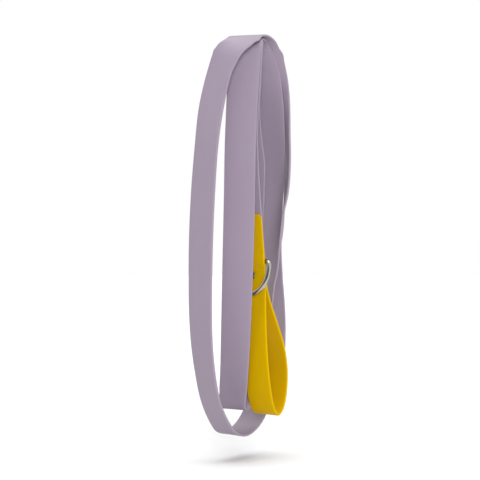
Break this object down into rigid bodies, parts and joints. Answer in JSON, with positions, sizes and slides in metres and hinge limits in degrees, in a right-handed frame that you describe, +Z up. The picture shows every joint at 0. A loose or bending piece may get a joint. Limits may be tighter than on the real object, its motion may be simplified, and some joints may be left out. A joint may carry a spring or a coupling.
{
  "type": "webbing dog lead",
  "caption": "Flat coated-webbing dog lead hung in passes over a peg, with a riveted contrast handle loop, a D-ring and a swivel bolt snap.",
  "frame": {"origin": "on the axis of the peg that carries the passes of strap, below the middle of them", "axes": "+X along the peg to the viewer's right, +Y away from the viewer, +Z up"},
  "size_m": [0.0811, 0.1057, 0.3205],
  "materials": {
    "lilac_coated_webbing": "smooth satin plastic coating over polyester webbing, pastel lilac",
    "yellow_coated_webbing": "smooth satin plastic coating over polyester webbing, warm yellow",
    "nickel_rivet": "nickel-plated pressed steel",
    "nickel_wire": "nickel-plated welded steel wire, polished",
    "nickel_casting": "nickel-plated zinc casting, tumbled",
    "nickel_turned": "nickel-plated turned brass",
    "spring_steel": "drawn spring wire"
  },
  "bodies": {
    "lead": {"main_strap": "lilac_coated_webbing", "handle_strap": "yellow_coated_webbing", "hook_end_strap": "yellow_coated_webbing", "handle_rivet_upper_post": "nickel_rivet", "handle_rivet_upper_cap": "nickel_rivet", "handle_rivet_middle_post": "nickel_rivet", "handle_rivet_middle_cap": "nickel_rivet", "handle_rivet_lower_post": "nickel_rivet", "handle_rivet_lower_cap": "nickel_rivet", "tab_rivet_upper_post": "nickel_rivet", "tab_rivet_upper_cap": "nickel_rivet", "tab_rivet_lower_post": "nickel_rivet", "tab_rivet_lower_cap": "nickel_rivet"},
    "ring": {"d_ring": "nickel_wire"},
    "eye": {"swivel_eye": "nickel_casting"},
    "hook": {"hook_body": "nickel_casting", "bolt_spring": "spring_steel"},
    "bolt": {"slide_bolt": "nickel_turned", "thumb_knob": "nickel_turned"}
  },
  "joints": [
    {"name": "ring_swing", "type": "hinge", "parent": "lead", "child": "ring", "pos_m": [0.00975, -0.009, -0.164], "axis": [-0.788, 0.6157, 0], "range_deg": [-3, 25]},
    {"name": "eye_tilt", "type": "hinge", "parent": "lead", "child": "eye", "pos_m": [0.021, 0.0246, -0.226], "axis": [0.4067, -0.9135, 0], "range_deg": [-6, 8]},
    {"name": "hook_swivel", "type": "hinge", "parent": "eye", "child": "hook", "pos_m": [0.021, 0.0246, -0.236], "axis": [0, 0, 1], "continuous": true},
    {"name": "bolt_slide", "type": "slide", "parent": "hook", "child": "bolt", "axis": [0, 0, 1], "range_m": [0, 0.005], "stiffness_N_per_m": 250, "springref_m": -0.012, "deforming": ["bolt_spring"]}
  ]
}
